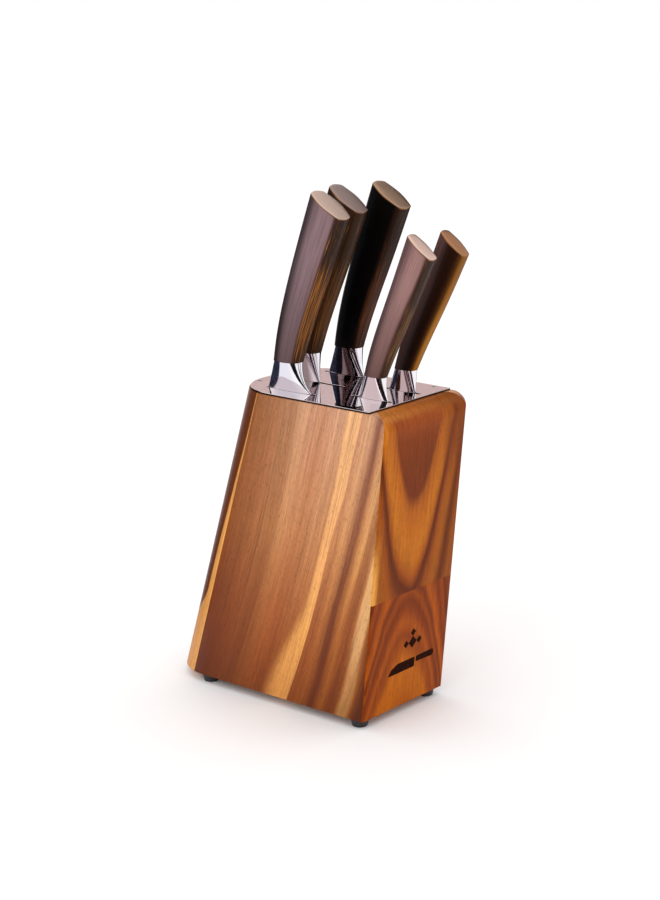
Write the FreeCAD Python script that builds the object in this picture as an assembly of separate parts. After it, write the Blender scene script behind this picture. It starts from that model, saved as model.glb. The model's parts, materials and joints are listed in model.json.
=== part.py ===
import FreeCAD, Part
import math
import os

# Knife block with five knives, in millimetres.
# While the pieces are made, Y = 0 is the middle of the block's underside, -Y is the
# front that the handles lean towards, and Z = 0 is the table.  The last step moves
# everything along Y, so that the origin is under the middle of the whole object.

V = FreeCAD.Vector

# ---- driving dimensions of the block -------------------------------------------------
BLOCK_WIDTH = 93.4
PLATE_TOP = 230.5
PLATE_THICK = 1.5
WOOD_TOP = PLATE_TOP - PLATE_THICK
FOOT_HEIGHT = 6.5
FRONT_FOOT_Y = -95.2
BACK_FOOT_Y = 93.6
FRONT_SLOPE = math.tan(math.radians(5.5))     # the front leans out towards the top
BACK_LEAN = math.radians(17.0)                # the back, the lanes and the rear knives
BACK_SLOPE = math.tan(BACK_LEAN)
BACK_CORNER_R = 36.0
FRONT_CORNER_R = 3.0
BROW_START_Z = 215.5                          # where the front begins to round over
BROW_END_Y = -101.6                           # where the rounding meets the top
SIDE_THICK = 11.0
FRONT_THICK = 20.0
BACK_THICK = 25.5
BACK_WEB = 20.5                               # back board left behind the lanes
BASE_THICK = 18.0
ZONE_LOW = FOOT_HEIGHT - 5.0                  # cutting regions run past the wood,
ZONE_HIGH = WOOD_TOP + 5.0                    # from below it to above it
ZONE_Y = 200.0                                # and as far as this to the front and back
ZONE_X = 60.0                                 # and to the sides
FRONT_SEAM_Z = 93.7                           # joint between the two front boards
STAVE_JOINT_TOP_Y = -96.0                     # glue joint of each side panel, at the top
STAVE_JOINT_FOOT_Y = -29.0                    # and at the underside

# ---- lanes, plate and fasteners ------------------------------------------------------
LANE_PITCH = 16.0
LANE_SHIFT = 1.8                              # the rows sit a little right of the middle
LANE_WIDTH = 3.6
SLOT_WIDTH = 3.2
PLATE_INSET = 1.2
PLATE_FRONT_Y = -101.3
REAR_SLOT = (-41.0, 3.8)
MIDDLE_SLOT = (-41.0, 14.6)
FRONT_SLOT = (-96.0, -61.0)
PLATE_SCREWS = [(-41.0, -90.0), (41.0, -90.0), (-20.0, 19.0), (20.0, 19.0)]
PLATE_SCREW_R = 1.25
PLATE_SCREW_HEAD_R = 2.6
PLATE_SCREW_LENGTH = 14.0
FOOT_PLACES = [(-38.0, -86.0), (38.0, -86.0), (-38.0, 56.0), (38.0, 56.0)]
FOOT_TOP_R = 6.8
FOOT_BOTTOM_R = 5.4
FOOT_RIM_R = 0.6
FOOT_SCREW_R = 1.75
FOOT_SCREW_HEAD_R = 3.2
FOOT_SCREW_LENGTH = 15.0
FOOT_SINK = 3.2                               # depth of the screw's seat in the foot
FOOT_SEAT_GAP = 0.3                           # the seat is this much wider than the head
RECESS_DEPTH_SHARE = 0.28                     # cross recess, of its own width
RECESS_ARM_SHARE = 0.26
SCREW_TIP_R = 0.2

# ---- knives --------------------------------------------------------------------------
BLADE_THICK = 2.4
EDGE_THICK = 0.7
SEAT_GAP = 0.1                                # bolster over the plate, knife at rest
SEAT_THICK = 4.4                              # bolster at the plate, wider than a slot
CAP_THICK = 1.4
TANG_WIDTH = 8.0
TANG_SHIFT = -1.0                             # tang, against the handle's first section
TANG_END_GAP = 3.5                            # wood left between the tang and the cap
TANG_LOW = 8.0
NECK_LOW = -6.0                               # the tang's root overlaps the blade and
NECK_HIGH = 9.0                               # the tang above it
BOLSTER_LEVELS = 5
BOLSTER_SWEEP = 2.6                           # how suddenly the front sweeps to the heel
BOLSTER_SWELL = 1.15                          # how the sides swell out
SEAT_FACET = 1.2                              # narrow faces of the bolster at the plate
SEAT_SAG = 0.5                                # and how far they bow
HEEL_DROP = 3.5                               # the heel lies this far under the plate line
HEEL_RELIEF = 0.6                             # and the edge this far past the slot mark
GRIND_SHARE = 0.35                            # the flat part beside the spine, of the width
GRIND_MARGIN = 1.0
SPINE_MARGIN = 0.5
SCALLOPS = 22
SCALLOP_RUN_SHARE = 0.9                       # serrated part, of the blade's length
SCALLOP_DEPTH = 0.9
FACET_SHARE = 0.70                            # narrow faces of a handle, of its thickness
SAG_SHARE = 0.09                              # how far those faces bow, of its thickness

# A handle is drawn through five cross sections, from the bolster to the butt: distance
# along the knife and offset towards the spine, both from the point where the spine
# passes the plate, then depth (spine side to edge side) and thickness.
LARGE_HANDLE = [
    (25.9, -11.8, 21.8, 15.2),
    (44.9, -10.6, 24.1, 17.0),
    (71.9, -11.3, 26.8, 18.4),
    (104.9, -13.6, 29.7, 19.4),
    (145.4, -16.5, 31.8, 19.4),
]
SMALL_HANDLE = [
    (20.6, -7.3, 17.0, 10.4),
    (34.9, -6.5, 18.6, 11.4),
    (55.9, -6.9, 20.2, 12.4),
    (86.0, -8.4, 22.4, 13.0),
    (122.5, -9.3, 25.2, 13.0),
]
BUTT_TILT = math.radians(16.0)                # butt face, against square to the knife

# name: lane, spine at the plate, heel at the plate, lean, blade length, kind of edge
KNIVES = {
    "chef_knife": (-2, 1.6, -37.8, BACK_LEAN, 200.0, "chef", LARGE_HANDLE),
    "slicing_knife": (0, 12.0, -18.9, BACK_LEAN, 200.0, "slicer", LARGE_HANDLE),
    "bread_knife": (2, -0.6, -33.8, BACK_LEAN, 200.0, "serrated", LARGE_HANDLE),
    "utility_knife": (-1, -67.5, -92.9, math.radians(22.0), 127.0, "chef", SMALL_HANDLE),
    "paring_knife": (1, -68.6, -91.8, math.radians(23.2), 90.0, "chef", SMALL_HANDLE),
}

HALF = BLOCK_WIDTH / 2
INNER = HALF - SIDE_THICK


def front_y(z, depth=0.0):
    """The front face, or a plane at a depth behind it, at height z."""
    outer = FRONT_FOOT_Y - (z - FOOT_HEIGHT) * FRONT_SLOPE
    return outer + depth / math.cos(math.atan(FRONT_SLOPE))


def back_y(z, depth=0.0):
    """The back face, or a plane at a depth in front of it, at height z."""
    outer = BACK_FOOT_Y - (z - FOOT_HEIGHT) * BACK_SLOPE
    return outer - depth / math.cos(BACK_LEAN)


def lane_x(lane):
    return LANE_SHIFT + lane * LANE_PITCH


def side_prism(points, x0, x1):
    """A solid from a polygon of (y, z) points, between two X planes."""
    corners = [V(x0, y, z) for y, z in points]
    face = Part.Face(Part.makePolygon(corners + corners[:1]))
    return face.extrude(V(x1 - x0, 0, 0))


def tangent_arc(start, along, end):
    """Arc in the YZ plane that leaves start in the direction along and meets end."""
    normal = V(0, along.z, -along.y)
    chord = end - start
    radius = chord.Length ** 2 / (2 * chord.dot(normal))
    centre = start + normal * radius
    middle = (start + end) * 0.5 - centre
    middle.normalize()
    return Part.Arc(start, centre + middle * abs(radius), end).toShape()


def block_envelope():
    """Outer shape of the wood: leaning sides, rounded back corners, rounded brow."""
    brow_start = V(-HALF, front_y(BROW_START_Z), BROW_START_Z)
    brow_end = V(-HALF, BROW_END_Y, WOOD_TOP)
    up_front = V(0, -FRONT_SLOPE, 1)
    up_front.normalize()
    bottom_front = V(-HALF, FRONT_FOOT_Y, FOOT_HEIGHT)
    bottom_back = V(-HALF, BACK_FOOT_Y, FOOT_HEIGHT)
    top_back = V(-HALF, back_y(WOOD_TOP), WOOD_TOP)
    outline = Part.Wire([
        Part.makeLine(bottom_front, brow_start),
        tangent_arc(brow_start, up_front, brow_end),
        Part.makeLine(brow_end, top_back),
        Part.makeLine(top_back, bottom_back),
        Part.makeLine(bottom_back, bottom_front),
    ])
    solid = Part.Face(outline).extrude(V(BLOCK_WIDTH, 0, 0))
    back_edges = []
    for edge in solid.Edges:
        box = edge.BoundBox
        if box.XLength < 0.1 and box.ZLength > 5 and box.YMax > 30:
            back_edges.append(edge)
    return solid.makeFillet(BACK_CORNER_R, back_edges).common(front_corner_prism())


def front_corner_prism():
    """A tall prism that leans with the front and rounds its two corners."""
    height = ZONE_HIGH - ZONE_LOW
    y = front_y(ZONE_LOW)
    blank = Part.makeBox(BLOCK_WIDTH, 2 * ZONE_Y, height, V(-HALF, y, ZONE_LOW))
    corners = [e for e in blank.Edges if e.BoundBox.ZLength > 1 and e.BoundBox.YMax < y + 1]
    ground = Part.makePlane(2 * ZONE_X, 4 * ZONE_Y, V(-ZONE_X, -ZONE_Y, ZONE_LOW))
    plan = blank.makeFillet(FRONT_CORNER_R, corners).common(ground)
    return plan.Faces[0].extrude(V(0, -height * FRONT_SLOPE, height))


def mitre_prism(z0, z1):
    """Region of the front boards: it narrows from the face to the inside."""
    start = V(0, front_y(z0), z0)
    inner_y = front_y(z0, FRONT_THICK)
    reach = HALF + 1.0
    outer_y = start.y - (reach - HALF) * (inner_y - start.y) / SIDE_THICK
    corners = [
        V(-reach, outer_y, z0),
        V(reach, outer_y, z0),
        V(INNER, inner_y, z0),
        V(-INNER, inner_y, z0),
    ]
    face = Part.Face(Part.makePolygon(corners + corners[:1]))
    return face.extrude(V(0, -(z1 - z0) * FRONT_SLOPE, z1 - z0))


def upright_zone(y0, low, y1, high, x0, x1, forward):
    """Everything in front of, or behind, the line from (y0, low) to (y1, high)."""
    far = -ZONE_Y if forward else ZONE_Y
    return side_prism([(far, low), (y0, low), (y1, high), (far, high)], x0, x1)


def make_boards(envelope):
    """The seven outer boards, cut from the envelope along their glue joints."""
    boards = {}
    front_zone = mitre_prism(ZONE_LOW, ZONE_HIGH)
    lower_zone = upright_zone(ZONE_Y, ZONE_LOW, ZONE_Y, FRONT_SEAM_Z, -ZONE_X, ZONE_X, True)
    front = envelope.common(front_zone)
    boards["front_lower_board"] = front.common(lower_zone)
    boards["front_upper_board"] = front.cut(lower_zone)

    back_low, back_high = back_y(ZONE_LOW, BACK_THICK), back_y(ZONE_HIGH, BACK_THICK)
    back_zone = upright_zone(back_low, ZONE_LOW, back_high, ZONE_HIGH, -ZONE_X, ZONE_X, False)
    groove = leaning_region(BACK_WEB, BACK_THICK + SIDE_THICK, ZONE_LOW, ZONE_HIGH, -INNER, INNER)
    middle = lane_x(0)
    kerf_depth = (back_y(PLATE_TOP) - MIDDLE_SLOT[1]) * math.cos(BACK_LEAN)
    kerf = leaning_region(kerf_depth, BACK_THICK, FOOT_HEIGHT + BASE_THICK, ZONE_HIGH,
                          middle - LANE_WIDTH / 2, middle + LANE_WIDTH / 2)
    boards["back_board"] = envelope.common(back_zone).cut(groove).cut(kerf)

    sides = envelope.cut(front_zone).cut(back_zone)
    joint_slope = (STAVE_JOINT_TOP_Y - STAVE_JOINT_FOOT_Y) / (WOOD_TOP - FOOT_HEIGHT)
    joint_low = STAVE_JOINT_FOOT_Y + (ZONE_LOW - FOOT_HEIGHT) * joint_slope
    joint_high = STAVE_JOINT_FOOT_Y + (ZONE_HIGH - FOOT_HEIGHT) * joint_slope
    for side, x0, x1 in (("left", -ZONE_X, -INNER), ("right", INNER, ZONE_X)):
        front_part = upright_zone(joint_low, ZONE_LOW, joint_high, ZONE_HIGH, x0, x1, True)
        rear_part = upright_zone(joint_low, ZONE_LOW, joint_high, ZONE_HIGH, x0, x1, False)
        boards[side + "_front_stave"] = sides.common(front_part)
        boards[side + "_rear_stave"] = sides.common(rear_part)
    return boards


def leaning_region(depth0, depth1, z0, z1, x0, x1):
    """A slab that leans with the back, between two depths in front of it."""
    return side_prism([(back_y(z0, depth1), z0), (back_y(z0, depth0), z0),
                       (back_y(z1, depth0), z1), (back_y(z1, depth1), z1)], x0, x1)


def inner_section(z0, z1, x0, x1):
    """What fills the inside from the front boards to the back board's web."""
    return side_prism([(front_y(z0, FRONT_THICK), z0), (back_y(z0, BACK_WEB), z0),
                       (back_y(z1, BACK_WEB), z1), (front_y(z1, FRONT_THICK), z1)], x0, x1)


def make_dividers():
    """Four thick boards stand between the five lanes that the blades hang in."""
    dividers = {}
    floor = FOOT_HEIGHT + BASE_THICK
    for number in range(4):
        x0 = lane_x(number - 2) + LANE_WIDTH / 2
        x1 = lane_x(number - 1) - LANE_WIDTH / 2
        dividers["lane_divider_%d" % (number + 1)] = inner_section(floor, WOOD_TOP, x0, x1)
    return dividers


def screw(x, y, z, length, radius, head_radius, direction):
    """A countersunk wood screw whose flat head lies at z; direction is +1 up, -1 down."""
    axis = V(0, 0, direction)
    place = V(x, y, z)
    head_height = head_radius - radius
    head = Part.makeCone(head_radius, radius, head_height, place, axis)
    body = Part.makeCylinder(radius, length - 2 * radius, place, axis)
    tip = Part.makeCone(radius, SCREW_TIP_R, 2 * radius, place + axis * (length - 2 * radius), axis)
    return head.fuse([body, tip])


def cross_recess(x, y, z, size, direction):
    """The cross cut into a screw's head."""
    depth = size * RECESS_DEPTH_SHARE
    z0 = z if direction > 0 else z - depth
    arm = size * RECESS_ARM_SHARE
    first = Part.makeBox(size, arm, depth, V(x - size / 2, y - arm / 2, z0))
    second = Part.makeBox(arm, size, depth, V(x - arm / 2, y - size / 2, z0))
    return first.fuse(second)


def make_plate():
    """Steel top plate with five slots and four countersunk holes."""
    half = HALF - PLATE_INSET
    back = back_y(WOOD_TOP) - PLATE_INSET
    blank = Part.makeBox(2 * half, back - PLATE_FRONT_Y, PLATE_THICK, V(-half, PLATE_FRONT_Y, WOOD_TOP))
    corners = [e for e in blank.Edges if e.BoundBox.ZLength > 1 and e.BoundBox.YMin > 0]
    plate = blank.makeFillet(BACK_CORNER_R - PLATE_INSET, corners)
    for knife in KNIVES.values():
        plate = plate.cut(slot_cutter(knife[0]))
    for x, y in PLATE_SCREWS:
        plate = plate.cut(plate_screw(x, y))
    return plate


def plate_screw(x, y):
    return screw(x, y, PLATE_TOP, PLATE_SCREW_LENGTH, PLATE_SCREW_R, PLATE_SCREW_HEAD_R, -1)


def foot_screw(x, y):
    return screw(x, y, FOOT_SINK, FOOT_SCREW_LENGTH, FOOT_SCREW_R, FOOT_SCREW_HEAD_R, 1)


def slot_cutter(lane):
    """One round-ended slot through the plate."""
    y0, y1 = FRONT_SLOT if lane in (-1, 1) else REAR_SLOT
    if lane == 0:
        y0, y1 = MIDDLE_SLOT
    radius = SLOT_WIDTH / 2
    x, z, height = lane_x(lane), WOOD_TOP - PLATE_THICK, 3 * PLATE_THICK
    bar = Part.makeBox(SLOT_WIDTH, y1 - y0 - SLOT_WIDTH, height, V(x - radius, y0 + radius, z))
    ends = [Part.makeCylinder(radius, height, V(x, y, z)) for y in (y0 + radius, y1 - radius)]
    return bar.fuse(ends).removeSplitter()


def make_foot(x, y):
    """Tapered rubber foot with a deep seat for its screw."""
    body = Part.makeCone(FOOT_BOTTOM_R, FOOT_TOP_R, FOOT_HEIGHT, V(x, y, 0))
    rim = [e for e in body.Edges if e.BoundBox.ZMax < 0.1]
    body = body.makeFillet(FOOT_RIM_R, rim)
    seat = Part.makeCylinder(FOOT_SCREW_HEAD_R + FOOT_SEAT_GAP, FOOT_SINK, V(x, y, 0))
    return body.cut(seat).cut(foot_screw(x, y))


class Knife:
    """One knife, drawn along its own leaning axis."""

    def __init__(self, lane, spine_y, heel_y, lean, length, kind, stations):
        self.x = lane_x(lane)
        self.spine_y = spine_y
        self.heel_y = heel_y
        self.lean = lean
        self.length = length
        self.kind = kind
        self.stations = stations
        self.seat_z = PLATE_TOP + SEAT_GAP

    def place(self, along, across, x=0.0):
        """Point at a distance along the knife and an offset towards its spine."""
        y = self.spine_y + across * math.cos(self.lean) - along * math.sin(self.lean)
        z = PLATE_TOP + across * math.sin(self.lean) + along * math.cos(self.lean)
        return V(self.x + x, y, z)

    def section(self, centre, tilt, depth, thick, facet, sag):
        """Closed outline of two long bowed sides and two narrow facets."""
        back = V(0, math.cos(tilt), math.sin(tilt))
        side = V(1, 0, 0)
        corner = back * (depth / 2 - sag)
        left = side * (-facet / 2)
        right = side * (facet / 2)
        arcs = [
            (centre - corner + right, centre + side * (thick / 2), centre + corner + right),
            (centre + corner + right, centre + back * (depth / 2), centre + corner + left),
            (centre + corner + left, centre - side * (thick / 2), centre - corner + left),
            (centre - corner + left, centre - back * (depth / 2), centre - corner + right),
        ]
        return Part.Wire([Part.Arc(*points).toShape() for points in arcs])

    def handle_section(self, index):
        along, across, depth, thick = self.stations[index]
        share = index / (len(self.stations) - 1.0)
        tilt = share * (self.lean + BUTT_TILT)
        centre = self.place(along, across)
        return self.section(centre, tilt, depth, thick, thick * FACET_SHARE, thick * SAG_SHARE)

    def grip(self):
        """Handle and butt cap in one, before they are parted."""
        wires = [self.handle_section(i) for i in range(len(self.stations))]
        return Part.makeLoft(wires, True, False)

    def butt_zone(self):
        """Everything past the joint between the handle and the butt cap."""
        along, across = self.stations[-1][:2]
        tilt = self.lean + BUTT_TILT
        normal = V(0, -math.sin(tilt), math.cos(tilt))
        centre = self.place(along, across) - normal * CAP_THICK
        slab = Part.makeBox(2 * ZONE_X, 2 * ZONE_X, BASE_THICK, V(-ZONE_X, -ZONE_X, 0))
        slab.Placement = FreeCAD.Placement(centre, FreeCAD.Rotation(V(0, 0, 1), normal))
        return slab

    def bolster(self):
        """Steel collar that narrows from the handle to the blade's heel."""
        along, across, depth, thick = self.stations[0]
        top = self.place(along, across)
        top_back = top.y + depth / 2
        top_front = top.y - depth / 2
        wires = []
        for level in range(BOLSTER_LEVELS):
            share = level / (BOLSTER_LEVELS - 1.0)
            z = self.seat_z + share * (top.z - self.seat_z)
            back = self.spine_y + share * (top_back - self.spine_y)
            front = top_front + (self.heel_y - top_front) * (1 - share) ** BOLSTER_SWEEP
            width = SEAT_THICK + (thick - SEAT_THICK) * share ** BOLSTER_SWELL
            facet = SEAT_FACET + (thick * FACET_SHARE - SEAT_FACET) * share
            sag = SEAT_SAG + (thick * SAG_SHARE - SEAT_SAG) * share
            centre = V(self.x, (back + front) / 2, z)
            wires.append(self.section(centre, 0.0, back - front, width, facet, sag))
        return Part.makeLoft(wires, True, False)

    def bar(self, low, high):
        """A flat bar along the knife, as thick as the blade and as wide as the tang."""
        middle = self.stations[0][1] + TANG_SHIFT
        corners = [
            self.place(low, middle - TANG_WIDTH / 2),
            self.place(low, middle + TANG_WIDTH / 2),
            self.place(high, middle + TANG_WIDTH / 2),
            self.place(high, middle - TANG_WIDTH / 2),
        ]
        half = BLADE_THICK / 2
        return side_prism([(p.y, p.z) for p in corners], self.x - half, self.x + half)

    def tang(self):
        """The bar up through the bolster and the handle, with its root at the blade."""
        along = self.stations[-1][0]
        neck = self.bar(TANG_LOW, along - CAP_THICK - TANG_END_GAP - TANG_WIDTH)
        corner = V(-ZONE_X, -ZONE_Y, self.seat_z - SPINE_MARGIN)
        above = Part.makeBox(2 * ZONE_X, 2 * ZONE_Y, ZONE_Y, corner)
        return self.bar(NECK_LOW, NECK_HIGH).common(above).fuse(neck)

    def blade_outline(self):
        """Edges of the blade's outline, from the spine round the tip to the heel."""
        spine_top = V(self.x, self.spine_y, self.seat_z)
        heel_top = V(self.x, self.heel_y, self.seat_z)
        heel_across = (self.heel_y - self.spine_y) * math.cos(self.lean)
        heel_along = (self.spine_y - self.heel_y) * math.sin(self.lean) - HEEL_DROP
        heel = self.place(heel_along, heel_across - HEEL_RELIEF)
        width = -heel_across
        tip_along = heel_along - self.length
        edges = [Part.makeLine(heel_top, heel)]
        if self.kind == "chef":
            tip = self.place(tip_along, -width * 0.32)
            belly = self.place(tip_along + self.length * 0.36, heel_across + width * 0.06)
            drop = self.place(tip_along + self.length * 0.12, -width * 0.075)
            edges.append(smooth_edge([heel, belly, tip]))
            last = self.place(tip_along + self.length * 0.4, 0)
            edges.append(smooth_edge([tip, drop, last], last - spine_top))
        elif self.kind == "slicer":
            tip = self.place(tip_along, -width * 0.12)
            belly = self.place(tip_along + self.length * 0.2, heel_across + width * 0.1)
            edges.append(smooth_edge([heel, belly, tip]))
            last = self.place(tip_along + self.length * 0.25, 0)
            edges.append(Part.makeLine(tip, last))
        else:
            run = self.length * SCALLOP_RUN_SHARE
            start = heel
            for number in range(SCALLOPS):
                low = heel_along - run * (number + 1.0) / SCALLOPS
                stop = self.place(low, heel_across - HEEL_RELIEF)
                hollow = self.place(low + run / SCALLOPS / 2, heel_across + SCALLOP_DEPTH)
                edges.append(Part.Arc(start, hollow, stop).toShape())
                start = stop
            tip = self.place(tip_along, -width * 0.45)
            round_off = self.place(tip_along + self.length * 0.02, heel_across + width * 0.2)
            edges.append(Part.Arc(start, round_off, tip).toShape())
            shoulder = self.place(tip_along + self.length * 0.02, -width * 0.12)
            last = self.place(tip_along + self.length * 0.07, 0)
            edges.append(Part.Arc(tip, shoulder, last).toShape())
        edges.append(Part.makeLine(last, spine_top))
        edges.append(Part.makeLine(spine_top, heel_top))
        return edges

    def blade(self):
        """Blade that thins towards its edge, with its tang."""
        outline = Part.Wire(Part.__sortEdges__(self.blade_outline()))
        flat = Part.Face(outline)
        flat.translate(V(-BLADE_THICK / 2, 0, 0))
        solid = flat.extrude(V(BLADE_THICK, 0, 0))
        width = (self.spine_y - self.heel_y) * math.cos(self.lean) + GRIND_MARGIN
        ground = -width * GRIND_SHARE
        half_spine = BLADE_THICK / 2
        half_edge = EDGE_THICK / 2
        shape = [(SPINE_MARGIN, half_spine), (ground, half_spine), (-width, half_edge),
                 (-width, -half_edge), (ground, -half_spine), (SPINE_MARGIN, -half_spine)]
        low = -self.length - BASE_THICK
        corners = [self.place(low, across, x) for across, x in shape]
        top = self.place(ZONE_X, 0) - self.place(low, 0)
        wedge = Part.Face(Part.makePolygon(corners + corners[:1])).extrude(top)
        return solid.common(wedge).fuse(self.tang()).removeSplitter()

    def pieces(self):
        grip = self.grip()
        zone = self.butt_zone()
        blade = self.blade()
        return {
            "blade": blade,
            "bolster": self.bolster().cut(blade),
            "handle": grip.cut(zone).cut(blade),
            "butt_cap": grip.common(zone),
        }


def smooth_edge(points, away=None):
    """A smooth curve through a few points, which may end pointing away from a place."""
    curve = Part.BSplineCurve()
    if away is None:
        curve.interpolate(points)
    else:
        start = points[1] - points[0]
        curve.interpolate(Points=points, InitialTangent=start, FinalTangent=away * -1.0)
    return curve.toShape()


def build():
    """Every piece by its name."""
    nodes = make_boards(block_envelope())
    floor = FOOT_HEIGHT + BASE_THICK
    base = inner_section(FOOT_HEIGHT, floor, -INNER, INNER)
    nodes.update(make_dividers())
    nodes["top_plate"] = make_plate()

    plate_screws = []
    for x, y in PLATE_SCREWS:
        solid = plate_screw(x, y)
        for name in ("left_rear_stave", "right_rear_stave", "back_board"):
            nodes[name] = nodes[name].cut(solid)
        plate_screws.append(solid.cut(cross_recess(x, y, PLATE_TOP, PLATE_SCREW_HEAD_R, -1)))
    nodes["plate_screws"] = Part.makeCompound(plate_screws)

    foot_screws = []
    for (x, y), name in zip(FOOT_PLACES, ("front_left", "front_right", "rear_left", "rear_right")):
        nodes["foot_" + name] = make_foot(x, y)
        solid = foot_screw(x, y)
        for board in [key for key in nodes if key.endswith(("stave", "board"))]:
            nodes[board] = nodes[board].cut(solid)
        base = base.cut(solid)
        foot_screws.append(solid.cut(cross_recess(x, y, FOOT_SINK, FOOT_SCREW_HEAD_R, 1)))
    nodes["base_board"] = base
    nodes["foot_screws"] = Part.makeCompound(foot_screws)

    for name, values in KNIVES.items():
        for piece, solid in Knife(*values).pieces().items():
            nodes[name + "_" + piece] = solid
    return nodes


def main():
    nodes = build()
    whole = FreeCAD.BoundBox()
    for shape in nodes.values():
        whole.add(shape.optimalBoundingBox(False))
    shift = V(0, -(whole.YMin + whole.YMax) / 2, 0)
    os.makedirs("parts", exist_ok=True)
    for name, shape in sorted(nodes.items()):
        moved = shape.copy()
        moved.translate(shift)
        print("%-26s solids %d  volume %9.1f  valid %s"
              % (name, len(moved.Solids), moved.Volume, moved.isValid()))
        moved.exportStep("parts/%s.step" % name)
    print("shift along Y %.3f, box X %.2f to %.2f, Z %.2f to %.2f, depth %.2f"
          % (shift.y, whole.XMin, whole.XMax, whole.ZMin, whole.ZMax, whole.YLength))


main()
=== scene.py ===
import json
from collections import namedtuple
from math import atan2, cos, pi, radians, sin, tan

import bmesh
import bpy
from bpy.props import FloatProperty, FloatVectorProperty, IntProperty, PointerProperty
from bpy.types import Operator, Panel, PropertyGroup
from mathutils import Matrix, Quaternion, Vector


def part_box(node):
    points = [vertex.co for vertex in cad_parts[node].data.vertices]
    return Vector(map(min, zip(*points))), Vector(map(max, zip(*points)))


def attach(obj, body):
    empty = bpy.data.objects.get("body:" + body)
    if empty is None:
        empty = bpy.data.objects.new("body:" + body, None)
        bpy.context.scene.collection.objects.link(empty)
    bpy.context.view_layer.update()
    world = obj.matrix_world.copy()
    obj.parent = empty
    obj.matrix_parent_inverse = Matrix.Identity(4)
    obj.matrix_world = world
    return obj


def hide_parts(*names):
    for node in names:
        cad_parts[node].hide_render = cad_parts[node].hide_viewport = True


bl_info = {
    "name": "Knife Block Workshop",
    "version": (1, 0, 0),
    "blender": (4, 5, 0),
    "location": "View3D > Sidebar > Knife Block",
    "description": "Finishes a leaning knife block and its five knives, and sets up its studio",
    "category": "Object",
}

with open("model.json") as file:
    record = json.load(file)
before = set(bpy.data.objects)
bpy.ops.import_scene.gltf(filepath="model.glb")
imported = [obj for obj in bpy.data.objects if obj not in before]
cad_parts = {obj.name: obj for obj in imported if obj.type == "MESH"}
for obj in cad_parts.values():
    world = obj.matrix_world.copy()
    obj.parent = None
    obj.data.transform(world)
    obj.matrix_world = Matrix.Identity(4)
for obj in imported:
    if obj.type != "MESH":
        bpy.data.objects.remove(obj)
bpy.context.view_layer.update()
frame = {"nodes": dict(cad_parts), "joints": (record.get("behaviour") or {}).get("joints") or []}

# ---- places that come from the frame, in metres --------------------------------------
PLATE_LOW, PLATE_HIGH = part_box("top_plate")
PLATE_TOP = PLATE_HIGH.z
PLATE_FRONT = PLATE_LOW.y
FRONT_LOW, FRONT_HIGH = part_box("front_lower_board")
FRONT_SEAM = FRONT_HIGH.z
FRONT_LEAN = radians(5.5)
FRONT_SLOPE = tan(FRONT_LEAN)
LEANS = {joint["child"]: atan2(-joint["axis"][1], joint["axis"][2]) for joint in frame["joints"]}

# ---- the block's grain: its lean as a cosine and a sine, and the back board's joint ----
GRAIN_UP = 0.956
GRAIN_BACK = 0.292
BACK_JOINT = 0.0863
MARK_HEIGHT = 0.033

# ---- the knives, in metres -----------------------------------------------------------
# A handle is drawn through cross sections from the bolster to the butt: distance along
# the knife, offset towards the spine, depth from spine side to edge side, thickness.
LARGE_HANDLE = [
    (0.0259, -0.0118, 0.0218, 0.0152),
    (0.0449, -0.0106, 0.0241, 0.0170),
    (0.0719, -0.0113, 0.0268, 0.0184),
    (0.1049, -0.0136, 0.0297, 0.0194),
    (0.1454, -0.0165, 0.0318, 0.0194),
]
SMALL_HANDLE = [
    (0.0206, -0.0073, 0.0170, 0.0104),
    (0.0349, -0.0065, 0.0186, 0.0114),
    (0.0559, -0.0069, 0.0202, 0.0124),
    (0.0860, -0.0084, 0.0224, 0.0130),
    (0.1225, -0.0093, 0.0252, 0.0130),
]
# spine and heel are places behind the plate's front edge
Knife = namedtuple("Knife", "spine heel length kind stations wood")
KNIVES = {
    "chef_knife": Knife(0.1029, 0.0635, 0.200, "chef", LARGE_HANDLE, "handle_wood_plum"),
    "slicing_knife": Knife(0.1133, 0.0824, 0.200, "slicer", LARGE_HANDLE, "handle_wood_brown"),
    "bread_knife": Knife(0.1007, 0.0675, 0.200, "serrated", LARGE_HANDLE, "handle_wood_ebony"),
    "utility_knife": Knife(0.0338, 0.0084, 0.127, "chef", SMALL_HANDLE, "handle_wood_plum"),
    "paring_knife": Knife(0.0327, 0.0095, 0.090, "chef", SMALL_HANDLE, "handle_wood_amber"),
}
# Handles and caps: the butt's tilt, and the shares of a section's thickness that its
# narrow faces and the bow of its broad sides take.
BUTT_TILT = radians(16.0)
CAP_THICK = 0.0014
FACET_SHARE = 0.70
SAG_SHARE = 0.09
# Bolsters: the gap over the plate, the section there, the levels of the rings as shares
# of the height, and the powers of the front's sweep and of the growing thickness.
SEAT_GAP = 0.0001
SEAT_THICK = 0.0044
SEAT_FACET = 0.0012
SEAT_SAG = 0.0005
BOLSTER_LEVELS = (0.0, 0.05, 0.16, 0.32, 0.50, 0.70, 0.88, 1.0)
BOLSTER_SWEEP = 2.6
BOLSTER_SWELL = 1.15
# Blades: for each kind, how far the spine drops and the edge rises towards the tip, each
# as a share of the width, the share of the length where it starts, and a power.
TIPS = {
    "chef": ((0.32, 0.60, 2.2), (0.68, 0.15, 2.6)),
    "slicer": ((0.12, 0.75, 1.0), (0.88, 0.62, 2.4)),
    "serrated": ((0.45, 0.93, 2.0), (0.55, 0.93, 2.4)),
}
TIP_THICK = 0.0004
SCALLOPS = 22
SCALLOP_DEPTH = 0.0015
SCALLOPED_SHARE = 0.92
HEEL_DROP = 0.0035
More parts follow.
